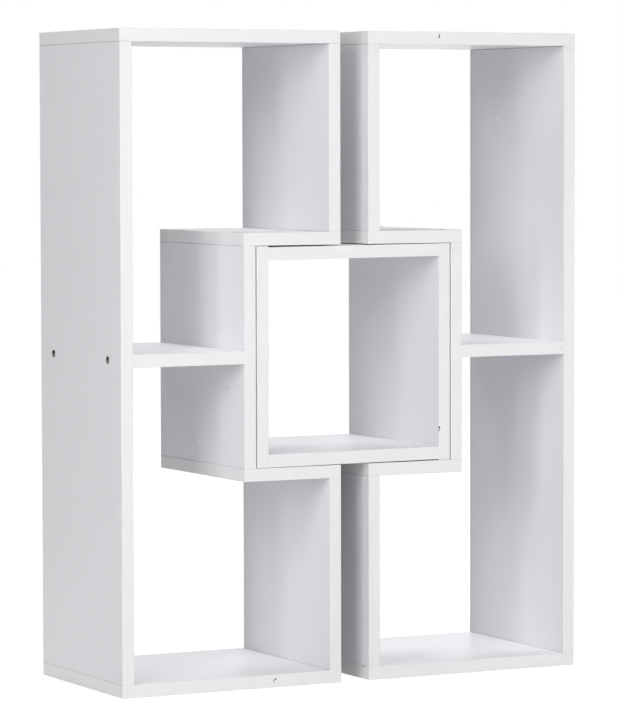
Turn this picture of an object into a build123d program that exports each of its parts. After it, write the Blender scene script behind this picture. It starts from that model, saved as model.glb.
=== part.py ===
from build123d import *

import os

# Open storage unit of three loose modules: two mirrored C-shaped units and a cube that slides
# into the recess between them. Melamine-faced boards, edged with thin strips, held by sunk
# connector screws and beech dowels.
#
# Millimetres. +Z up, +X to the right, front faces -Y.
# Origin: centre of the footprint, at floor level.

# ---------------------------------------------------------------- driving dimensions
BOARD = 16.0            # board thickness, the same everywhere
EDGING = 0.8            # thickness of the edging strips
EDGING_ROUND = 0.5      # rounding along the strips' outer edges
STRIP_BUTT = 0.05       # hairline where two strips meet at a board corner
ARRIS = 0.25            # broken edge round the sawn ends, seen as a fine groove at each joint

DEPTH = 240.0           # front to back, over the edging
UNIT_W = 300.0          # width of one C unit
UNIT_H = 810.0          # height of one C unit
BAY_W = 150.0           # clear width between side panel and recess wall
LOWER_H = 240.0         # clear height under the lower ledge

CUBE_W = 272.0          # cube, over its sides
CUBE_H = 273.0          # cube, height of its sides
TOP_INSET = 0.8         # cube top stands this far inside the ends of the sides
TOP_SKEW = 0.7          # and sits this much low at its left end, this much high at its right
BOTTOM_INSET = 0.6      # the same of the cube bottom
BOTTOM_SKEW = 0.5
FIT_SIDE = 1.5          # air between cube side and recess wall
FIT_UNDER = 0.3         # air between cube and lower ledges
FIT_OVER = 0.5          # air between cube and upper ledges

SCREW_PITCH = 162.0     # the two screws of a joint, front to rear
SINK_R = 4.8            # wide part of the stepped screw hole
SINK_DEPTH = 8.0
HEAD_R = 4.65
HEAD_T = 2.5
SOCKET_AF = 4.0         # hexagon socket across flats
SOCKET_DEPTH = 1.6
NECK_R = 3.45           # plain neck inside the outer board
NECK_HOLE_R = 3.5
SHANK_R = 2.5           # lower part, inside the edge of the other board
SHANK_HOLE_R = 2.53
SCREW_REACH = 32.0      # how far the screw goes into the edge
PILOT_DEPTH = 34.0

DOWEL_R = 3.97
DOWEL_HOLE_R = 4.0
DOWEL_IN_FACE = 10.5    # dowel length inside the outer board
DOWEL_IN_EDGE = 19.5    # dowel length inside the edge of the other board
DOWEL_CHAMFER = 1.0
DOWEL_END_ROOM = 0.5

# ---------------------------------------------------------------- derived positions
CORE_D = DEPTH - 2 * EDGING
ARM = UNIT_W - BAY_W - 2 * BOARD                    # how deep the recess goes into one unit
GAP = CUBE_W + 2 * FIT_SIDE - 2 * ARM               # between the two units
RECESS_H = CUBE_H + FIT_UNDER + FIT_OVER

X_OUT = -(UNIT_W + GAP / 2)                         # left unit, outer face of the side panel
X_IN = -GAP / 2                                     # left unit, face towards the other unit
X_SIDE = X_OUT + BOARD / 2                          # middle of the side panel
X_WALL = X_OUT + BOARD + BAY_W + BOARD / 2          # middle of the recess wall
X_DIVIDER = X_IN - BOARD / 2                        # middle of both dividers
X_UNIT = (X_OUT + X_IN) / 2
X_LEDGE_OUT = X_WALL - BOARD / 2
X_LEDGE = (X_LEDGE_OUT + X_IN) / 2
LEDGE_W = X_IN - X_LEDGE_OUT
X_SHELF = X_OUT + BOARD + BAY_W / 2

Z_BOTTOM_TOP = BOARD
Z_LOWER_LEDGE = Z_BOTTOM_TOP + LOWER_H
Z_RECESS = Z_LOWER_LEDGE + BOARD
Z_UPPER_LEDGE = Z_RECESS + RECESS_H
Z_UPPER_BAY = Z_UPPER_LEDGE + BOARD
Z_TOP = UNIT_H - BOARD
Z_SHELF_MID = Z_RECESS + RECESS_H / 2
Z_SHELF = Z_SHELF_MID - BOARD / 2

Z_CUBE = Z_RECESS + FIT_UNDER
Z_CUBE_BOTTOM = Z_CUBE + BOTTOM_INSET
Z_CUBE_TOP = Z_CUBE + CUBE_H - TOP_INSET - BOARD
CUBE_IN_W = CUBE_W - 2 * BOARD
X_CUBE_SIDE = (CUBE_W - BOARD) / 2

UP, DOWN, LEFT, RIGHT = (0, 0, 1), (0, 0, -1), (-1, 0, 0), (1, 0, 0)


# A joint is where the end of one board meets the face of another. `at` is the middle of the
# joint face, `out` the direction from there through the outer board.
def joint_plane(at, out, offset=0.0):
    """Plane on the joint face, shifted along `out`, with its x direction front to rear."""
    origin = tuple(a + offset * o for a, o in zip(at, out))
    return Plane(origin=origin, x_dir=(0, 1, 0), z_dir=out)


def drill_outer_board(at, out):
    """Stepped screw holes from the outer face, and a blind dowel hole from the joint face."""
    with Locations(joint_plane(at, out, BOARD)):
        with GridLocations(SCREW_PITCH, 1, 2, 1):
            CounterBoreHole(NECK_HOLE_R, SINK_R, SINK_DEPTH, depth=BOARD + 1)
    inward = tuple(-o for o in out)
    with Locations(joint_plane(at, inward)):
        Hole(DOWEL_HOLE_R, depth=DOWEL_IN_FACE + DOWEL_END_ROOM)


def drill_board_end(at, out):
    """Pilot holes for the screws and a dowel hole, drilled into the end of a board."""
    with Locations(joint_plane(at, out)):
        with GridLocations(SCREW_PITCH, 1, 2, 1):
            Hole(SHANK_HOLE_R, depth=PILOT_DEPTH)
    with Locations(joint_plane(at, out)):
        Hole(DOWEL_HOLE_R, depth=DOWEL_IN_EDGE + DOWEL_END_ROOM)


def current_edges():
    """Edges of the sub-part that is being built."""
    return BuildPart._get_context(None).edges()


def break_sawn_ends():
    """Breaks the four arrises, front to rear, between a board's faces and its two sawn ends."""
    chamfer(current_edges().filter_by(Axis.Y), ARRIS)


# joints of the left unit
J_TOP_SIDE = ((X_SIDE, 0, Z_TOP), UP)
J_TOP_DIVIDER = ((X_DIVIDER, 0, Z_TOP), UP)
J_BOTTOM_SIDE = ((X_SIDE, 0, Z_BOTTOM_TOP), DOWN)
J_BOTTOM_DIVIDER = ((X_DIVIDER, 0, Z_BOTTOM_TOP), DOWN)
J_UPPER_LEDGE_DIVIDER = ((X_DIVIDER, 0, Z_UPPER_BAY), DOWN)
J_UPPER_LEDGE_WALL = ((X_WALL, 0, Z_UPPER_LEDGE), UP)
J_LOWER_LEDGE_DIVIDER = ((X_DIVIDER, 0, Z_LOWER_LEDGE), UP)
J_LOWER_LEDGE_WALL = ((X_WALL, 0, Z_RECESS), DOWN)
J_SIDE_SHELF = ((X_OUT + BOARD, 0, Z_SHELF_MID), LEFT)
J_WALL_SHELF = ((X_LEDGE_OUT, 0, Z_SHELF_MID), RIGHT)
LEFT_UNIT_JOINTS = [
    J_TOP_SIDE, J_TOP_DIVIDER, J_BOTTOM_SIDE, J_BOTTOM_DIVIDER, J_UPPER_LEDGE_DIVIDER,
    J_UPPER_LEDGE_WALL, J_LOWER_LEDGE_DIVIDER, J_LOWER_LEDGE_WALL, J_SIDE_SHELF, J_WALL_SHELF,
]

# joints of the cube
J_CUBE_LEFT_TOP = ((-CUBE_IN_W / 2, 0, Z_CUBE_TOP - TOP_SKEW + BOARD / 2), LEFT)
J_CUBE_LEFT_BOTTOM = ((-CUBE_IN_W / 2, 0, Z_CUBE_BOTTOM - BOTTOM_SKEW + BOARD / 2), LEFT)
J_CUBE_RIGHT_TOP = ((CUBE_IN_W / 2, 0, Z_CUBE_TOP + TOP_SKEW + BOARD / 2), RIGHT)
J_CUBE_RIGHT_BOTTOM = ((CUBE_IN_W / 2, 0, Z_CUBE_BOTTOM + BOTTOM_SKEW + BOARD / 2), RIGHT)
CUBE_JOINTS = [J_CUBE_LEFT_TOP, J_CUBE_LEFT_BOTTOM, J_CUBE_RIGHT_TOP, J_CUBE_RIGHT_BOTTOM]

# ---------------------------------------------------------------- left unit: boards
# full-height side panel, standing on the bottom panel and carrying the top panel
with BuildPart() as left_side_panel:
    with BuildSketch(Plane.XY.offset(Z_BOTTOM_TOP)):
        with Locations((X_SIDE, 0)):
            Rectangle(BOARD, CORE_D)
    extrude(amount=Z_TOP - Z_BOTTOM_TOP)
    break_sawn_ends()
    drill_board_end(*J_TOP_SIDE)
    drill_board_end(*J_BOTTOM_SIDE)
    drill_outer_board(*J_SIDE_SHELF)

# top panel, lying over the side panel and the upper divider
with BuildPart() as left_top_panel:
    with BuildSketch(Plane.XY.offset(Z_TOP)):
        with Locations((X_UNIT, 0)):
            Rectangle(UNIT_W - 2 * EDGING, CORE_D)
    extrude(amount=BOARD)
    drill_outer_board(*J_TOP_SIDE)
    drill_outer_board(*J_TOP_DIVIDER)

# bottom panel, flat on the floor under the side panel and the lower divider
with BuildPart() as left_bottom_panel:
    with BuildSketch(Plane.XY):
        with Locations((X_UNIT, 0)):
            Rectangle(UNIT_W - 2 * EDGING, CORE_D)
    extrude(amount=BOARD)
    drill_outer_board(*J_BOTTOM_SIDE)
    drill_outer_board(*J_BOTTOM_DIVIDER)

# upper divider, hanging between the top panel and the upper ledge
with BuildPart() as left_upper_divider:
    with BuildSketch(Plane.XY.offset(Z_UPPER_BAY)):
        with Locations((X_DIVIDER, 0)):
            Rectangle(BOARD, CORE_D)
    extrude(amount=Z_TOP - Z_UPPER_BAY)
    break_sawn_ends()
    drill_board_end(*J_TOP_DIVIDER)
    drill_board_end(*J_UPPER_LEDGE_DIVIDER)

# lower divider, standing between the bottom panel and the lower ledge
with BuildPart() as left_lower_divider:
    with BuildSketch(Plane.XY.offset(Z_BOTTOM_TOP)):
        with Locations((X_DIVIDER, 0)):
            Rectangle(BOARD, CORE_D)
    extrude(amount=LOWER_H)
    break_sawn_ends()
    drill_board_end(*J_BOTTOM_DIVIDER)
    drill_board_end(*J_LOWER_LEDGE_DIVIDER)

# upper ledge: lies on the recess wall, roofs the recess and carries the upper divider
with BuildPart() as left_upper_ledge:
    with BuildSketch(Plane.XY.offset(Z_UPPER_LEDGE)):
        with Locations((X_LEDGE, 0)):
            Rectangle(LEDGE_W - 2 * EDGING, CORE_D)
    extrude(amount=BOARD)
    drill_outer_board(*J_UPPER_LEDGE_DIVIDER)
    drill_outer_board(*J_UPPER_LEDGE_WALL)

# lower ledge: lies on the lower divider, carries the recess wall and the cube
with BuildPart() as left_lower_ledge:
    with BuildSketch(Plane.XY.offset(Z_LOWER_LEDGE)):
        with Locations((X_LEDGE, 0)):
            Rectangle(LEDGE_W - 2 * EDGING, CORE_D)
    extrude(amount=BOARD)
    drill_outer_board(*J_LOWER_LEDGE_DIVIDER)
    drill_outer_board(*J_LOWER_LEDGE_WALL)

# recess wall, standing between the two ledges
with BuildPart() as left_recess_wall:
    with BuildSketch(Plane.XY.offset(Z_RECESS)):
        with Locations((X_WALL, 0)):
            Rectangle(BOARD, CORE_D)
    extrude(amount=RECESS_H)
    break_sawn_ends()
    drill_board_end(*J_UPPER_LEDGE_WALL)
    drill_board_end(*J_LOWER_LEDGE_WALL)
    drill_outer_board(*J_WALL_SHELF)

# small shelf between the side panel and the recess wall
with BuildPart() as left_shelf:
    with BuildSketch(Plane.XY.offset(Z_SHELF)):
        with Locations((X_SHELF, 0)):
            Rectangle(BAY_W, CORE_D)
    extrude(amount=BOARD)
    break_sawn_ends()
    drill_board_end(*J_SIDE_SHELF)
    drill_board_end(*J_WALL_SHELF)

# ---------------------------------------------------------------- left unit: edging strips
Y_STRIP = (DEPTH - EDGING) / 2


def round_front_and_rear():
    """Rounds the outer edges of the strips on the front and rear of a board."""
    faces = current_faces()
    fillet(faces.sort_by(Axis.Y)[0].edges(), EDGING_ROUND)
    faces = current_faces()
    fillet(faces.sort_by(Axis.Y)[-1].edges(), EDGING_ROUND)


def round_left_and_right_end():
    """Rounds the outer edges of the strips on the two ends of a board."""
    faces = current_faces().filter_by(Axis.X)
    fillet(faces.group_by(Axis.X)[0].sort_by(SortBy.AREA)[-1].edges(), EDGING_ROUND)
    faces = current_faces().filter_by(Axis.X)
    fillet(faces.group_by(Axis.X)[-1].sort_by(SortBy.AREA)[-1].edges(), EDGING_ROUND)


def current_faces():
    """Faces of the sub-part that is being built."""
    return BuildPart._get_context(None).faces()


with BuildPart() as left_side_panel_edging:
    with BuildSketch(Plane.XY.offset(Z_BOTTOM_TOP)):
        with Locations((X_SIDE, -Y_STRIP), (X_SIDE, Y_STRIP)):
            Rectangle(BOARD, EDGING)
    extrude(amount=Z_TOP - Z_BOTTOM_TOP)
    round_front_and_rear()

with BuildPart() as left_top_panel_edging:
    with BuildSketch(Plane.XY.offset(Z_TOP)):
        with Locations((X_UNIT, -Y_STRIP), (X_UNIT, Y_STRIP)):
            Rectangle(UNIT_W, EDGING)
        with Locations((X_OUT + EDGING / 2, 0), (X_IN - EDGING / 2, 0)):
            Rectangle(EDGING, CORE_D - 2 * STRIP_BUTT)
    extrude(amount=BOARD)
    round_front_and_rear()
    round_left_and_right_end()

with BuildPart() as left_bottom_panel_edging:
    with BuildSketch(Plane.XY):
        with Locations((X_UNIT, -Y_STRIP), (X_UNIT, Y_STRIP)):
            Rectangle(UNIT_W, EDGING)
        with Locations((X_OUT + EDGING / 2, 0), (X_IN - EDGING / 2, 0)):
            Rectangle(EDGING, CORE_D - 2 * STRIP_BUTT)
    extrude(amount=BOARD)
    round_front_and_rear()
    round_left_and_right_end()

with BuildPart() as left_upper_divider_edging:
    with BuildSketch(Plane.XY.offset(Z_UPPER_BAY)):
        with Locations((X_DIVIDER, -Y_STRIP), (X_DIVIDER, Y_STRIP)):
            Rectangle(BOARD, EDGING)
    extrude(amount=Z_TOP - Z_UPPER_BAY)
    round_front_and_rear()

with BuildPart() as left_lower_divider_edging:
    with BuildSketch(Plane.XY.offset(Z_BOTTOM_TOP)):
        with Locations((X_DIVIDER, -Y_STRIP), (X_DIVIDER, Y_STRIP)):
            Rectangle(BOARD, EDGING)
    extrude(amount=LOWER_H)
    round_front_and_rear()

with BuildPart() as left_upper_ledge_edging:
    with BuildSketch(Plane.XY.offset(Z_UPPER_LEDGE)):
        with Locations((X_LEDGE, -Y_STRIP), (X_LEDGE, Y_STRIP)):
            Rectangle(LEDGE_W, EDGING)
        with Locations((X_LEDGE_OUT + EDGING / 2, 0), (X_IN - EDGING / 2, 0)):
            Rectangle(EDGING, CORE_D - 2 * STRIP_BUTT)
    extrude(amount=BOARD)
    round_front_and_rear()
    round_left_and_right_end()

with BuildPart() as left_lower_ledge_edging:
    with BuildSketch(Plane.XY.offset(Z_LOWER_LEDGE)):
        with Locations((X_LEDGE, -Y_STRIP), (X_LEDGE, Y_STRIP)):
            Rectangle(LEDGE_W, EDGING)
        with Locations((X_LEDGE_OUT + EDGING / 2, 0), (X_IN - EDGING / 2, 0)):
            Rectangle(EDGING, CORE_D - 2 * STRIP_BUTT)
    extrude(amount=BOARD)
    round_front_and_rear()
    round_left_and_right_end()

with BuildPart() as left_recess_wall_edging:
    with BuildSketch(Plane.XY.offset(Z_RECESS)):
        with Locations((X_WALL, -Y_STRIP), (X_WALL, Y_STRIP)):
            Rectangle(BOARD, EDGING)
    extrude(amount=RECESS_H)
    round_front_and_rear()

with BuildPart() as left_shelf_edging:
    with BuildSketch(Plane.XY.offset(Z_SHELF)):
        with Locations((X_SHELF, -Y_STRIP), (X_SHELF, Y_STRIP)):
            Rectangle(BAY_W, EDGING)
    extrude(amount=BOARD)
    round_front_and_rear()

# ---------------------------------------------------------------- cube: boards and edging
# the sides run the full height, edged all round; top and bottom are held between them and
# are put together a hair out of square, so that the gap over and under the cube tapers
def cube_board_outline(z, skew):
    """Outline, seen from the front, of the cube's top or bottom; `z` is the middle of its lower face."""
    left, right = -CUBE_IN_W / 2, CUBE_IN_W / 2
    Polygon(
        (left, z - skew),
        (right, z + skew),
        (right, z + skew + BOARD),
        (left, z - skew + BOARD),
        align=None,
    )


with BuildPart() as cube_left_side:
    with BuildSketch(Plane.XY.offset(Z_CUBE + EDGING)):
        with Locations((-X_CUBE_SIDE, 0)):
            Rectangle(BOARD, CORE_D)
    extrude(amount=CUBE_H - 2 * EDGING)
    drill_outer_board(*J_CUBE_LEFT_TOP)
    drill_outer_board(*J_CUBE_LEFT_BOTTOM)

with BuildPart() as cube_right_side:
    with BuildSketch(Plane.XY.offset(Z_CUBE + EDGING)):
        with Locations((X_CUBE_SIDE, 0)):
            Rectangle(BOARD, CORE_D)
    extrude(amount=CUBE_H - 2 * EDGING)
    drill_outer_board(*J_CUBE_RIGHT_TOP)
    drill_outer_board(*J_CUBE_RIGHT_BOTTOM)

with BuildPart() as cube_top:
    with BuildSketch(Plane.XZ):
        cube_board_outline(Z_CUBE_TOP, TOP_SKEW)
    extrude(amount=CORE_D / 2, both=True)
    break_sawn_ends()
    drill_board_end(*J_CUBE_LEFT_TOP)
    drill_board_end(*J_CUBE_RIGHT_TOP)

with BuildPart() as cube_bottom:
    with BuildSketch(Plane.XZ):
        cube_board_outline(Z_CUBE_BOTTOM, BOTTOM_SKEW)
    extrude(amount=CORE_D / 2, both=True)
    break_sawn_ends()
    drill_board_end(*J_CUBE_LEFT_BOTTOM)
    drill_board_end(*J_CUBE_RIGHT_BOTTOM)


def round_upper_and_lower_end():
    """Rounds the outer edges of the strips on the top and bottom end of a cube side."""
    faces = current_faces().filter_by(Axis.Z)
    fillet(faces.group_by(Axis.Z)[0].sort_by(SortBy.AREA)[-1].edges(), EDGING_ROUND)
    faces = current_faces().filter_by(Axis.Z)
    fillet(faces.group_by(Axis.Z)[-1].sort_by(SortBy.AREA)[-1].edges(), EDGING_ROUND)


with BuildPart() as cube_left_side_edging:
    with BuildSketch(Plane.XY.offset(Z_CUBE)):
        with Locations((-X_CUBE_SIDE, -Y_STRIP), (-X_CUBE_SIDE, Y_STRIP)):
            Rectangle(BOARD, EDGING)
    extrude(amount=CUBE_H)
    with BuildSketch(Plane.XY.offset(Z_CUBE), Plane.XY.offset(Z_CUBE + CUBE_H - EDGING)):
        with Locations((-X_CUBE_SIDE, 0)):
            Rectangle(BOARD, CORE_D - 2 * STRIP_BUTT)
    extrude(amount=EDGING)
    round_front_and_rear()
    round_upper_and_lower_end()

with BuildPart() as cube_right_side_edging:
    with BuildSketch(Plane.XY.offset(Z_CUBE)):
        with Locations((X_CUBE_SIDE, -Y_STRIP), (X_CUBE_SIDE, Y_STRIP)):
            Rectangle(BOARD, EDGING)
    extrude(amount=CUBE_H)
    with BuildSketch(Plane.XY.offset(Z_CUBE), Plane.XY.offset(Z_CUBE + CUBE_H - EDGING)):
        with Locations((X_CUBE_SIDE, 0)):
            Rectangle(BOARD, CORE_D - 2 * STRIP_BUTT)
    extrude(amount=EDGING)
    round_front_and_rear()
    round_upper_and_lower_end()

with BuildPart() as cube_top_edging:
    with BuildSketch(Plane.XZ.offset(-DEPTH / 2), Plane.XZ.offset(CORE_D / 2)):
        cube_board_outline(Z_CUBE_TOP, TOP_SKEW)
    extrude(amount=EDGING)
    round_front_and_rear()

with BuildPart() as cube_bottom_edging:
    with BuildSketch(Plane.XZ.offset(-DEPTH / 2), Plane.XZ.offset(CORE_D / 2)):
        cube_board_outline(Z_CUBE_BOTTOM, BOTTOM_SKEW)
    extrude(amount=EDGING)
    round_front_and_rear()

# ---------------------------------------------------------------- fasteners
# One connector screw, its axis on Z. Z = 0 is the outer face of the outer board; the screw
# points down. The profile is half its section: head, neck, shank and point.
with BuildPart() as screw_pattern:
    with BuildSketch(Plane.XZ):
        with BuildLine():
            Polyline(
                (0, -SINK_DEPTH + HEAD_T),
                (HEAD_R - 0.4, -SINK_DEPTH + HEAD_T),
                (HEAD_R, -SINK_DEPTH + HEAD_T - 0.4),
                (HEAD_R, -SINK_DEPTH),
                (NECK_R, -SINK_DEPTH),
                (NECK_R, -BOARD + 1),
                (SHANK_R, -BOARD),
                (SHANK_R, -BOARD - SCREW_REACH + 4),
                (0, -BOARD - SCREW_REACH),
                close=True,
            )
        make_face()
    revolve(axis=Axis.Z)
    with BuildSketch(Plane.XY.offset(-SINK_DEPTH + HEAD_T)):
        RegularPolygon(SOCKET_AF / 2, 6, major_radius=False)
    extrude(amount=-SOCKET_DEPTH, mode=Mode.SUBTRACT)

# One beech dowel, its axis on Z. Z = 0 is the joint face; the longer half points down.
with BuildPart() as dowel_pattern:
    with BuildSketch(Plane.XY.offset(-DOWEL_IN_EDGE)):
        Circle(DOWEL_R)
    extrude(amount=DOWEL_IN_EDGE + DOWEL_IN_FACE)
    chamfer(dowel_pattern.edges().filter_by(GeomType.CIRCLE), DOWEL_CHAMFER)

with BuildPart() as left_unit_screws:
    for joint_at, joint_out in LEFT_UNIT_JOINTS:
        with Locations(joint_plane(joint_at, joint_out, BOARD)):
            with GridLocations(SCREW_PITCH, 1, 2, 1):
                add(screw_pattern.part)

with BuildPart() as left_unit_dowels:
    for joint_at, joint_out in LEFT_UNIT_JOINTS:
        with Locations(joint_plane(joint_at, joint_out)):
            add(dowel_pattern.part)

with BuildPart() as cube_screws:
    for joint_at, joint_out in CUBE_JOINTS:
        with Locations(joint_plane(joint_at, joint_out, BOARD)):
            with GridLocations(SCREW_PITCH, 1, 2, 1):
                add(screw_pattern.part)

with BuildPart() as cube_dowels:
    for joint_at, joint_out in CUBE_JOINTS:
        with Locations(joint_plane(joint_at, joint_out)):
            add(dowel_pattern.part)

# ---------------------------------------------------------------- names and files
os.makedirs("parts", exist_ok=True)

left_unit = {
    "side_panel": left_side_panel,
    "top_panel": left_top_panel,
    "bottom_panel": left_bottom_panel,
    "upper_divider": left_upper_divider,
    "lower_divider": left_lower_divider,
    "upper_ledge": left_upper_ledge,
    "lower_ledge": left_lower_ledge,
    "recess_wall": left_recess_wall,
    "shelf": left_shelf,
    "side_panel_edging": left_side_panel_edging,
    "top_panel_edging": left_top_panel_edging,
    "bottom_panel_edging": left_bottom_panel_edging,
    "upper_divider_edging": left_upper_divider_edging,
    "lower_divider_edging": left_lower_divider_edging,
    "upper_ledge_edging": left_upper_ledge_edging,
    "lower_ledge_edging": left_lower_ledge_edging,
    "recess_wall_edging": left_recess_wall_edging,
    "shelf_edging": left_shelf_edging,
    "unit_screws": left_unit_screws,
    "unit_dowels": left_unit_dowels,
}
for name, piece in left_unit.items():
    piece.part.label = "left_" + name
    export_step(piece.part, "parts/left_" + name + ".step")

# the right unit is the left one mirrored
for name, piece in left_unit.items():
    with BuildPart() as right_piece:
        mirror(piece.part, about=Plane.YZ)
    right_piece.part.label = "right_" + name
    export_step(right_piece.part, "parts/right_" + name + ".step")

cube = {
    "cube_left_side": cube_left_side,
    "cube_right_side": cube_right_side,
    "cube_top": cube_top,
    "cube_bottom": cube_bottom,
    "cube_left_side_edging": cube_left_side_edging,
    "cube_right_side_edging": cube_right_side_edging,
    "cube_top_edging": cube_top_edging,
    "cube_bottom_edging": cube_bottom_edging,
    "cube_screws": cube_screws,
    "cube_dowels": cube_dowels,
}
for name, piece in cube.items():
    piece.part.label = name
    export_step(piece.part, "parts/" + name + ".step")
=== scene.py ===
import math

import bmesh
import bpy
from mathutils import Matrix, Vector, noise


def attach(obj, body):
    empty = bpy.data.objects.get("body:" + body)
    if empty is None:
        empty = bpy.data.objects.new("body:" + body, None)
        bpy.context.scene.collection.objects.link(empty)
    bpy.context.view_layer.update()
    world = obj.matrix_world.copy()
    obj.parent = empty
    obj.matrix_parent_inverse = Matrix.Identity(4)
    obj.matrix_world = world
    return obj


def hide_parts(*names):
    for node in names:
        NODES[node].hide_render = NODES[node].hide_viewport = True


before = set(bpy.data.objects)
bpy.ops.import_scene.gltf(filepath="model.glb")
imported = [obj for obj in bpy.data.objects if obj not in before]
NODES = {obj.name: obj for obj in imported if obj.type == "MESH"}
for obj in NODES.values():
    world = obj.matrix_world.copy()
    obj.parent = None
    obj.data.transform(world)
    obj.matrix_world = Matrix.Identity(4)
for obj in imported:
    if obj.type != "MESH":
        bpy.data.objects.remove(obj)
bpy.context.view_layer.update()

SCENE = bpy.context.scene


# ---------------------------------------------------------------- node helpers

class Graph:
    """A small writer for one node tree."""

    def __init__(self, tree):
        self.tree = tree
        self.column = 0
        tree.nodes.clear()

    def add(self, kind, ins=None, **props):
        node = self.tree.nodes.new(kind)
        self.column += 1
        node.location = (self.column * 190 - 4000, -(self.column % 5) * 220)
        for key, value in props.items():
            setattr(node, key, value)
        for key, value in (ins or {}).items():
            self.feed(node.inputs[key], value)
        return node

    def feed(self, socket, value):
        if isinstance(value, bpy.types.NodeSocket):
            self.tree.links.new(value, socket)
        else:
            socket.default_value = value

    def math(self, op, a, b=0.0, c=0.0, clamp=False):
        node = self.add("ShaderNodeMath", operation=op, use_clamp=clamp)
        for i, v in enumerate((a, b, c)):
            self.feed(node.inputs[i], v)
        return node.outputs[0]

    def vmath(self, op, a, b=(0, 0, 0)):
        node = self.add("ShaderNodeVectorMath", operation=op)
        self.feed(node.inputs[0], a)
        if op == "SCALE":
            self.feed(node.inputs["Scale"], b)
        else:
            self.feed(node.inputs[1], b)
        return node.outputs["Value"] if op in ("LENGTH", "DOT_PRODUCT", "DISTANCE") else node.outputs[0]

    def split(self, v):
        return self.add("ShaderNodeSeparateXYZ", {0: v}).outputs

    def noise(self, vector, scale, detail=2.0, rough=0.5, distortion=0.0):
        node = self.add("ShaderNodeTexNoise", {"Vector": vector, "Scale": scale, "Detail": detail,
                                               "Roughness": rough, "Distortion": distortion})
        return node.outputs["Fac"]

    def ramp(self, fac, stops, interpolation="LINEAR"):
        node = self.add("ShaderNodeValToRGB", {"Fac": fac})
        node.color_ramp.interpolation = interpolation
        items = node.color_ramp.elements
        while len(items) < len(stops):
            items.new(0.5)
        for item, (pos, col) in zip(items, stops):
            item.position = pos
            item.color = (*col, 1.0) if len(col) == 3 else col
        return node.outputs["Color"]

    def span(self, value, lo, hi, to_lo=0.0, to_hi=1.0, smooth=False):
        node = self.add("ShaderNodeMapRange", {"Value": value, "From Min": lo, "From Max": hi,
                                               "To Min": to_lo, "To Max": to_hi},
                        interpolation_type="SMOOTHSTEP" if smooth else "LINEAR", clamp=True)
        return node.outputs["Result"]

    def mix(self, fac, a, b, blend="MIX"):
        node = self.add("ShaderNodeMix", data_type="RGBA", blend_type=blend)
        self.feed(node.inputs[0], fac)
        self.feed(node.inputs[6], a if isinstance(a, bpy.types.NodeSocket) else (*a, 1.0))
        self.feed(node.inputs[7], b if isinstance(b, bpy.types.NodeSocket) else (*b, 1.0))
        return node.outputs[2]

    def lerp(self, fac, a, b):
        node = self.add("ShaderNodeMix", data_type="FLOAT")
        self.feed(node.inputs[0], fac)
        self.feed(node.inputs[2], a)
        self.feed(node.inputs[3], b)
        return node.outputs[0]

    def bump(self, height, strength, distance, normal=None):
        ins = {"Height": height, "Strength": strength, "Distance": distance}
        if normal is not None:
            ins["Normal"] = normal
        return self.add("ShaderNodeBump", ins).outputs["Normal"]


def new_material(name):
    material = bpy.data.materials.new(name)
    material.use_nodes = True
    graph = Graph(material.node_tree)
    shader = graph.add("ShaderNodeBsdfPrincipled")
    out = graph.add("ShaderNodeOutputMaterial", {"Surface": shader.outputs[0]})
    out.location = (600, 0)
    shader.location = (300, 0)
    return material, graph, shader


def own_place(g, seed_scale=7.0):
    """Object coordinates, shifted by a different amount on each piece, so that no pattern runs on over a joint."""
    where = g.add("ShaderNodeTexCoord")
    which = g.add("ShaderNodeObjectInfo")
    shift = g.add("ShaderNodeCombineXYZ", {0: g.math("MULTIPLY", which.outputs["Random"], seed_scale),
                                           1: g.math("MULTIPLY", which.outputs["Random"], -seed_scale * 1.7),
                                           2: g.math("MULTIPLY", which.outputs["Random"], seed_scale * 0.6)})
    return where, g.vmath("ADD", where.outputs["Object"], shift.outputs[0])


# ---------------------------------------------------------------- materials

FILM_LOW = (0.808, 0.802, 0.833)
FILM_HIGH = (0.822, 0.816, 0.847)
STRIP_LOW = (0.819, 0.819, 0.822)
STRIP_HIGH = (0.839, 0.839, 0.842)


# small marks on the white surfaces: centre (mm), radii (mm), strength, colour
MARKS = [
    ((-153.5, 9.0, 296.0), (3.0, 7.0, 2.4), 1.0, (0.98, 0.98, 0.98)),
    ((303.5, 46.5, 701.9), (3.0, 6.5, 2.0), 1.0, (0.98, 0.98, 0.98)),
    ((19.5, -104.4, 15.6), (3.0, 5.0, 1.9), 0.55, (0.22, 0.20, 0.18)),
    ((299.2, -120.0, 409.6), (3.2, 3.0, 3.6), 0.22, (0.34, 0.33, 0.32)),
    ((-153.5, -72.0, 369.2), (3.0, 14.0, 6.0), 0.16, (0.45, 0.44, 0.46)),
    # painted shade in the joints under the tops (contact shadow, with some dust in the seams): outer faces, inner
    # faces, fronts
    ((-319.5, 0.0, 793.9), (2.5, 260.0, 0.75), 0.32, (0.25, 0.24, 0.23)),
    ((319.5, 0.0, 793.9), (2.5, 260.0, 0.75), 0.32, (0.25, 0.24, 0.23)),
    ((-35.5, 0.0, 793.6), (2.0, 260.0, 0.80), 0.40, (0.12, 0.12, 0.12)),
    ((303.5, 0.0, 793.6), (2.0, 260.0, 0.80), 0.40, (0.12, 0.12, 0.12)),
    ((-313.0, -120.0, 794.0), (14.0, 2.5, 0.60), 0.42, (0.25, 0.24, 0.23)),
    ((-28.5, -120.0, 794.0), (14.0, 2.5, 0.60), 0.36, (0.25, 0.24, 0.23)),
]


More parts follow.
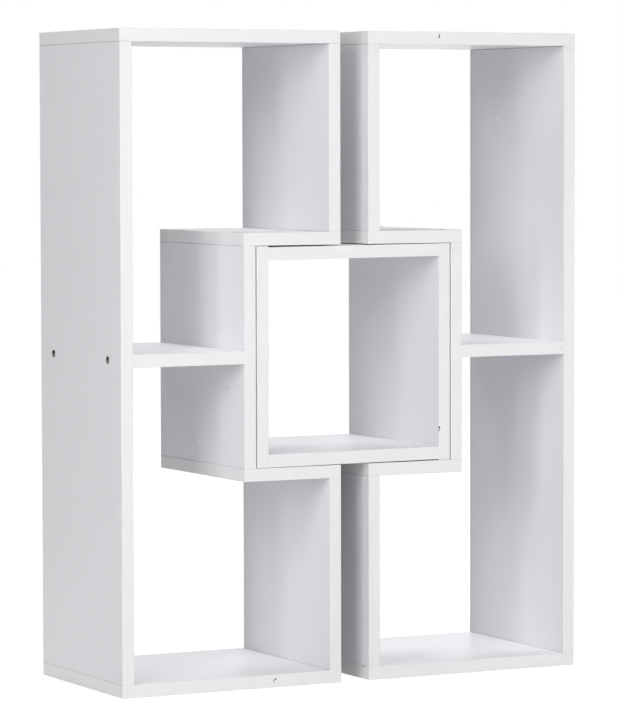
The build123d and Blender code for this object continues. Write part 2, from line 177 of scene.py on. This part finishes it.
def marked(g, where, white):
    """The white colour with a few specks and scuffs on it, and painted shade along the joints under the tops, each
    at its own place on the object.
    """
    ragged = g.math("MULTIPLY", g.math("SUBTRACT", g.noise(where.outputs["Object"], 900.0, 3.0, 0.6), 0.5), 0.9)
    for centre, radii, strength, colour in MARKS:
        off = g.vmath("SUBTRACT", where.outputs["Object"], tuple(c / 1000 for c in centre))
        reach = g.vmath("LENGTH", g.vmath("MULTIPLY", off, tuple(1000 / r for r in radii)))
        white = g.mix(g.span(g.math("ADD", reach, ragged), 0.25, 1.0, strength, 0.0, smooth=True), white, colour)
    return white


def board_material(name, axis, flat=True):
    """White melamine film on the two large faces (those across `axis`), raw chipboard on sawn ends and in the bores.

    On a board that lies a little out of level (`flat` False) no face inside a bore looks along `axis`."""
    material, g, shader = new_material(name)
    where, at = own_place(g)

    # melamine film: faint clouding, fine pearl print
    cloud = g.noise(at, 5.0, 3.0, 0.55)
    pearl = g.noise(at, 260.0, 4.0, 0.6)
    tone = g.math("ADD", g.math("MULTIPLY", cloud, 0.65), g.math("MULTIPLY", pearl, 0.35))
    film = marked(g, where, g.ramp(tone, [(0.30, FILM_LOW), (0.70, FILM_HIGH)]))
    rub = g.noise(at, 22.0, 5.0, 0.65)
    film_rough = g.span(rub, 0.25, 0.75, 0.40, 0.50)
    grain = g.noise(at, 1150.0, 2.0, 0.5)
    peel = g.noise(at, 330.0, 2.0, 0.5)
    film_height = g.math("ADD", g.math("MULTIPLY", grain, 0.6), g.math("MULTIPLY", peel, 0.8))

    # chipboard: pressed flakes of several browns with dark pores between
    flakes = g.add("ShaderNodeTexVoronoi", {"Vector": at, "Scale": 520.0, "Randomness": 1.0}, feature="F1")
    chips = g.add("ShaderNodeTexVoronoi", {"Vector": at, "Scale": 1400.0, "Randomness": 1.0}, feature="F1")
    flake_tone = g.split(flakes.outputs["Color"])[0]
    fibre = g.noise(at, 900.0, 5.0, 0.7, 1.5)
    wood = g.ramp(flake_tone, [(0.0, (0.105, 0.076, 0.052)), (0.35, (0.188, 0.142, 0.102)),
                               (0.7, (0.258, 0.202, 0.148)), (1.0, (0.335, 0.270, 0.203))])
    wood = g.mix(g.span(fibre, 0.35, 0.75, 0.0, 0.55), wood, (0.090, 0.058, 0.036))
    wood = g.mix(g.span(chips.outputs["Distance"], 0.0, 0.25, 0.30, 0.0), wood, (0.44, 0.35, 0.25))
    wood_height = g.math("ADD", g.math("MULTIPLY", flakes.outputs["Distance"], 1.3), fibre)
    if axis == 0:
        # a bore across an upright: its roof, the wall facing down, is darkened as painted shade, and its floor, the
        # wall facing up, is lightened as painted light
        across, _, up = g.split(where.outputs["Normal"])
        wall = g.span(g.math("ABSOLUTE", across), 0.3, 0.5, 1.0, 0.0)
        painted_roof_shade = g.math("MULTIPLY", wall, g.span(up, -0.50, -0.05, 0.85, 0.0, smooth=True))
        painted_floor_light = g.math("MULTIPLY", wall, g.span(up, -0.25, 0.35, 0.0, 0.55, smooth=True))
        wood = g.mix(painted_roof_shade, g.mix(painted_floor_light, wood, (0.42, 0.36, 0.31)), (0.020, 0.019, 0.019))

    # where the film is: on a face square to the board's thickness and at the very surface
    n = g.split(where.outputs["Normal"])[axis]
    film_here = g.span(g.math("ABSOLUTE", n), 0.90, 0.97)
    if flat:
        gen = g.split(where.outputs["Generated"])[axis]
        skin = g.span(g.math("ABSOLUTE", g.math("SUBTRACT", gen, 0.5)), 0.485, 0.495)
        film_here = g.math("MULTIPLY", film_here, skin)

    g.feed(shader.inputs["Base Color"], g.mix(film_here, wood, film))
    g.feed(shader.inputs["Roughness"], g.lerp(film_here, 0.92, film_rough))
    film_normal = g.bump(film_height, 0.10, 0.00005)
    wood_normal = g.bump(wood_height, 0.8, 0.0004)
    normal = g.add("ShaderNodeMix", data_type="VECTOR")
    g.feed(normal.inputs[0], film_here)
    g.feed(normal.inputs[4], wood_normal)
    g.feed(normal.inputs[5], film_normal)
    g.feed(shader.inputs["Normal"], normal.outputs[1])
    shader.inputs["IOR"].default_value = 1.46
    return material


def edging_material():
    """White edge strip: a touch smoother than the boards, with faint lengthwise drag marks and a fine print."""
    material, g, shader = new_material("white_edging")
    where, at = own_place(g)
    cloud = g.noise(at, 9.0, 3.0, 0.55)
    print_ = g.noise(at, 420.0, 3.0, 0.6)
    tone = g.math("ADD", g.math("MULTIPLY", cloud, 0.6), g.math("MULTIPLY", print_, 0.4))
    g.feed(shader.inputs["Base Color"], marked(g, where, g.ramp(tone, [(0.30, STRIP_LOW), (0.70, STRIP_HIGH)])))
    rub = g.noise(at, 35.0, 5.0, 0.65)
    g.feed(shader.inputs["Roughness"], g.span(rub, 0.25, 0.75, 0.34, 0.46))
    grain = g.noise(at, 800.0, 3.0, 0.55)
    g.feed(shader.inputs["Normal"], g.bump(grain, 0.12, 0.00005))
    shader.inputs["IOR"].default_value = 1.47
    return material


def core_material():
    """Soiled raw core that shows where a strip is knocked open."""
    material, g, shader = new_material("bare_core")
    where, at = own_place(g)
    grit = g.noise(at, 2600.0, 4.0, 0.7)
    g.feed(shader.inputs["Base Color"], g.ramp(grit, [(0.30, (0.014, 0.012, 0.011)), (0.70, (0.058, 0.048, 0.041))]))
    shader.inputs["Roughness"].default_value = 0.95
    g.feed(shader.inputs["Normal"], g.bump(grit, 0.8, 0.0003))
    return material


def screw_material():
    """Bright zinc plate, slightly mottled, with turning marks."""
    material, g, shader = new_material("zinc_screw")
    where, at = own_place(g)
    mottled = g.noise(at, 420.0, 5.0, 0.65)
    tint = g.noise(at, 120.0, 2.0, 0.5)
    zinc = g.ramp(mottled, [(0.25, (0.45, 0.45, 0.46)), (0.75, (0.70, 0.70, 0.70))])
    g.feed(shader.inputs["Base Color"], g.mix(g.span(tint, 0.45, 0.75, 0.0, 0.4), zinc, (0.62, 0.58, 0.47)))
    shader.inputs["Metallic"].default_value = 1.0
    g.feed(shader.inputs["Roughness"], g.span(mottled, 0.2, 0.8, 0.24, 0.44))
    g.feed(shader.inputs["Normal"], g.bump(g.noise(at, 1600.0, 2.0, 0.5), 0.15, 0.00004))
    return material


def dowel_material(name, axis):
    """Beech, with the grain along the dowel and the short dark flecks of the wood."""
    material, g, shader = new_material(name)
    where, at = own_place(g)
    stretch = [900.0, 900.0, 900.0]
    stretch[axis] = 60.0
    fine = g.noise(g.vmath("MULTIPLY", at, tuple(stretch)), 1.0, 4.0, 0.6)
    stretch[axis] = 160.0
    fleck = g.noise(g.vmath("MULTIPLY", at, tuple(stretch)), 1.6, 2.0, 0.5)
    wood = g.ramp(fine, [(0.3, (0.50, 0.325, 0.185)), (0.7, (0.68, 0.490, 0.310))])
    g.feed(shader.inputs["Base Color"], g.mix(g.span(fleck, 0.60, 0.68, 0.0, 0.6), wood, (0.33, 0.190, 0.100)))
    g.feed(shader.inputs["Roughness"], g.span(fine, 0.2, 0.8, 0.55, 0.72))
    g.feed(shader.inputs["Normal"], g.bump(fine, 0.35, 0.0002))
    return material


BOARD_UPRIGHT = board_material("white_board_upright", 0)
BOARD_LEVEL = board_material("white_board_level", 2)
BOARD_SKEW = board_material("white_board_skew", 2, flat=False)
EDGING = edging_material()
CORE = core_material()
SCREW = screw_material()
DOWEL = dowel_material("beech_dowel", 0)

LEVEL_WORDS = ("top_panel", "bottom_panel", "ledge", "shelf")


def dress(obj, material):
    obj.data.materials.clear()
    obj.data.materials.append(material)


for name, obj in NODES.items():
    if name.endswith("_edging"):
        dress(obj, EDGING)
    elif name.endswith("_screws"):
        dress(obj, SCREW)
    elif name.endswith("_dowels"):
        dress(obj, DOWEL)
    elif name in ("cube_top", "cube_bottom"):
        dress(obj, BOARD_SKEW)
    elif any(word in name for word in LEVEL_WORDS):
        dress(obj, BOARD_LEVEL)
    else:
        dress(obj, BOARD_UPRIGHT)


# ---------------------------------------------------------------- small knocks in the edge strips

def copy_of_node(node, name):
    """A new mesh with the shape of a CAD piece and its corners joined, ready to be cut."""
    source = NODES[node].data
    bm = bmesh.new()
    index = [bm.verts.new(v.co) for v in source.vertices]
    for polygon in source.polygons:
        bm.faces.new([index[i] for i in polygon.vertices])
    bmesh.ops.remove_doubles(bm, verts=bm.verts, dist=2e-6)
    bmesh.ops.dissolve_limit(bm, angle_limit=0.002, verts=bm.verts, edges=bm.edges)
    mesh = bpy.data.meshes.new(name)
    bm.to_mesh(mesh)
    bm.free()
    obj = bpy.data.objects.new(name, mesh)
    SCENE.collection.objects.link(obj)
    return obj


def groove(stations, front):
    """A closed tool that scores the front face along a line: stations are (x, z, half width, depth) in mm."""
    bm = bmesh.new()
    rings = []
    for i, (x, z, half, depth) in enumerate(stations):
        x0, z0 = stations[max(i - 1, 0)][:2]
        x1, z1 = stations[min(i + 1, len(stations) - 1)][:2]
        run = Vector((x1 - x0, z1 - z0)).normalized()
        side = Vector((-run.y, run.x))
        ring = []
        for share, y in ((half, front - 0.5), (-half, front - 0.5), (-half * 0.45, front + depth), (half * 0.45, front + depth)):
            ring.append(bm.verts.new(Vector((x + side.x * share, y, z + side.y * share)) / 1000))
        rings.append(ring)
    for a, b in zip(rings, rings[1:]):
        for k in range(4):
            bm.faces.new((a[k], a[(k + 1) % 4], b[(k + 1) % 4], b[k]))
    bm.faces.new(rings[0][::-1])
    bm.faces.new(rings[-1])
    return bm


def pit(centre, radii, seed):
    """A closed, uneven tool for a knocked-out crumb: centre and radii in mm."""
    bm = bmesh.new()
    bmesh.ops.create_icosphere(bm, subdivisions=2, radius=1.0)
    for v in bm.verts:
        r = 1.0 + 0.30 * noise.noise(v.co * 1.7 + Vector((seed, 0, 0)))
        v.co = Vector((centre[k] + v.co[k] * r * radii[k] for k in range(3))) / 1000
    return bm


def knocked(node, body, tools):
    """The CAD strip with these tools taken out of it, in place of the strip."""
    obj = copy_of_node(node, node + "_knocked")
    dress(obj, EDGING)
    cutters = []
    for k, bm in enumerate(tools):
        bmesh.ops.recalc_face_normals(bm, faces=bm.faces)
        mesh = bpy.data.meshes.new(f"tool_{k}")
        bm.to_mesh(mesh)
        bm.free()
        mesh.materials.append(CORE)
        cutter = bpy.data.objects.new(f"tool_{k}", mesh)
        SCENE.collection.objects.link(cutter)
        cut = obj.modifiers.new(f"cut_{k}", "BOOLEAN")
        cut.operation, cut.solver, cut.object, cut.material_mode = "DIFFERENCE", "EXACT", cutter, "TRANSFER"
        cutters.append(cutter)
    bpy.context.view_layer.update()
    made = bpy.data.meshes.new_from_object(obj.evaluated_get(bpy.context.evaluated_depsgraph_get()))
    obj.modifiers.clear()
    plain, obj.data = obj.data, made
    bpy.data.meshes.remove(plain)
    for cutter in cutters:
        mesh = cutter.data
        bpy.data.objects.remove(cutter)
        bpy.data.meshes.remove(mesh)
    made.name = obj.name
    made.shade_smooth()
    made.set_sharp_from_angle(angle=math.radians(24))
    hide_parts(node)
    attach(obj, body)
    return obj


knocked("right_top_panel_edging", "right_unit", [
    groove([(119.0, 807.3, 0.22, 0.25), (120.2, 806.8, 0.52, 0.55), (120.9, 805.7, 0.72, 0.70), (121.1, 804.6, 0.82, 0.74),
            (120.9, 803.4, 0.85, 0.74), (120.1, 802.4, 0.72, 0.65), (118.9, 802.0, 0.28, 0.30)], -120.0),
])
knocked("left_bottom_panel_edging", "left_unit", [
    groove([(-111.4, 12.4, 0.18, 0.25), (-111.7, 11.2, 0.50, 0.60), (-112.5, 9.8, 0.62, 0.70), (-113.6, 8.6, 0.66, 0.70),
            (-114.6, 7.5, 0.48, 0.55), (-115.0, 6.6, 0.20, 0.25)], -120.0),
    groove([(-112.2, 10.4, 0.30, 0.45), (-111.2, 10.0, 0.52, 0.62), (-110.2, 9.4, 0.45, 0.55), (-109.4, 8.7, 0.18, 0.25)], -120.0),
])
knocked("cube_right_side_edging", "cube", [
    pit((120.40, -119.98, 313.2), (1.85, 0.60, 1.50), 3.1),
    pit((120.10, -119.98, 309.7), (1.15, 0.56, 1.30), 8.4),
])


# ---------------------------------------------------------------- stage: floor, light, camera

def floor_plane():
    mesh = bpy.data.meshes.new("floor")
    half = 14.0
    mesh.from_pydata([(-half, -half, 0), (half, -half, 0), (half, half, 0), (-half, half, 0)], [], [(0, 1, 2, 3)])
    floor = bpy.data.objects.new("floor", mesh)
    floor.location = (0, 0, -0.0006)
    SCENE.collection.objects.link(floor)
    material = bpy.data.materials.new("pale_floor")
    material.use_nodes = True
    g = Graph(material.node_tree)
    seen = g.add("ShaderNodeLightPath").outputs["Is Camera Ray"]
    matt = g.add("ShaderNodeBsdfDiffuse", {"Color": (0.80, 0.80, 0.80, 1.0)})
    faint = g.add("ShaderNodeBsdfDiffuse", {"Color": (0.16, 0.16, 0.16, 1.0)})
    # a sweep that goes over into the white backdrop, with a trace of shadow at the foot of the object
    away = g.vmath("LENGTH", g.add("ShaderNodeTexCoord").outputs["Object"])
    glow = g.add("ShaderNodeEmission", {"Color": (1, 1, 1, 1), "Strength": g.span(away, 0.5, 1.6, 0.955, 1.0, smooth=True)})
    lit = g.add("ShaderNodeAddShader", {0: faint.outputs[0], 1: glow.outputs[0]})
    both = g.add("ShaderNodeMixShader", {0: seen, 1: matt.outputs[0], 2: lit.outputs[0]})
    g.add("ShaderNodeOutputMaterial", {"Surface": both.outputs[0]})
    mesh.materials.append(material)
    return floor


FLOOR = floor_plane()

AIM = Vector((0.0, 0.0, 0.42))
# name, azimuth (0 in front, minus to the left), elevation, distance, width, height (None: round), watts, and where
# it is aimed if not at the middle of the object
LIGHTS = [
    ("back_1", 180, 55, 4.0, 1.5, None, 44.1),
    ("back_2", 120, 28, 4.0, 1.5, None, 23.7),
    ("back_3", -150, 55, 4.0, 1.5, None, 21.6),
    ("back_4", 150, 8, 4.0, 1.5, None, 3.66),
    ("fill_1", 180, 0, 1.0, 0.8, 0.8, 7.44, (0.4, 0.6, 1.15)),
    ("front_1", -4, 24, 7.0, 2.2, None, 142),
    ("front_2", -20, 45, 7.0, 2.2, None, 60.5),
    ("key_1", -52, 10, 9.0, 0.95, 2.4, 67.5),
    ("key_2", -48, 20, 9.0, 0.95, 2.4, 66.9),
    ("key_3", -66, 38, 9.0, 0.95, 2.4, 51.5),
    ("low_1", 40, -4.0, 4.0, 1.6, 0.2, 21.8),
    ("near_1", -56, 28, 2.2, 0.24, 0.7, 6.62),
    ("near_2", -64, 8, 2.2, 0.24, 0.7, 5.71),
    ("patch_1", 0, -90, 1.0, 0.6, None, 0.2, (0.0, 0.45, 1.003)),
    ("top_1", 0, 75, 3.5, 1.6, None, 9.1),
    ("wall_1", 180, 0, 1.0, 0.8, 0.8, 3.1, (1.2, 0.6, 0.35)),
    ("wall_2", 180, 0, 1.0, 0.8, 0.8, 1.21, (0.4, 0.6, 0.35)),
]
AMBIENT = 0.0
AMBIENT_COLOUR = (0.96, 0.97, 1.0)


def add_light(name, azimuth, elevation, distance, width, height, watts, aim=AIM):
    data = bpy.data.lights.new(name, "AREA")
    data.shape = "DISK" if height is None else "RECTANGLE"
    data.size = width
    if height is not None:
        data.size_y = height
    data.energy = watts
    obj = bpy.data.objects.new(name, data)
    a, e = math.radians(azimuth), math.radians(elevation)
    away = Vector((math.sin(a) * math.cos(e), -math.cos(a) * math.cos(e), math.sin(e)))
    obj.location = Vector(aim) + away * distance
    obj.rotation_mode = "QUATERNION"
    obj.rotation_quaternion = away.to_track_quat("Z", "Y")
    obj.visible_camera = False
    SCENE.collection.objects.link(obj)
    return obj


for row in LIGHTS:
    lamp = add_light(*row)
    # the broad fills leave no mirror image in the film
    lamp.visible_glossy = not row[0].startswith(("front", "fill"))

world = bpy.data.worlds.new("studio")
world.use_nodes = True
SCENE.world = world
g = Graph(world.node_tree)
seen = g.add("ShaderNodeLightPath").outputs["Is Camera Ray"]
ambient = g.add("ShaderNodeBackground", {"Color": (*AMBIENT_COLOUR, 1.0), "Strength": AMBIENT})
backdrop = g.add("ShaderNodeBackground", {"Color": (1, 1, 1, 1), "Strength": 1.0})
both = g.add("ShaderNodeMixShader", {0: seen, 1: ambient.outputs[0], 2: backdrop.outputs[0]})
g.add("ShaderNodeOutputWorld", {"Surface": both.outputs[0]})

camera = bpy.data.objects.new("camera", bpy.data.cameras.new("camera"))
camera.data.sensor_width = 36.0
camera.data.lens = 191.24984
camera.data.clip_start, camera.data.clip_end = 0.1, 100.0
right = Vector((0.8864995277, -0.4627249358, -0.0020545485))
down = Vector((-0.0286236782, -0.0504052872, -0.9983185825))
forward = Vector((0.4618433419, 0.8850677606, -0.0579291529))
turn = Matrix((right, -down, -forward)).transposed().to_4x4()
camera.matrix_world = Matrix.Translation((-2.24537867, -4.30280067, 0.67742734)) @ turn
SCENE.collection.objects.link(camera)
SCENE.camera = camera

SCENE.view_settings.view_transform = "Standard"
SCENE.view_settings.look = "None"
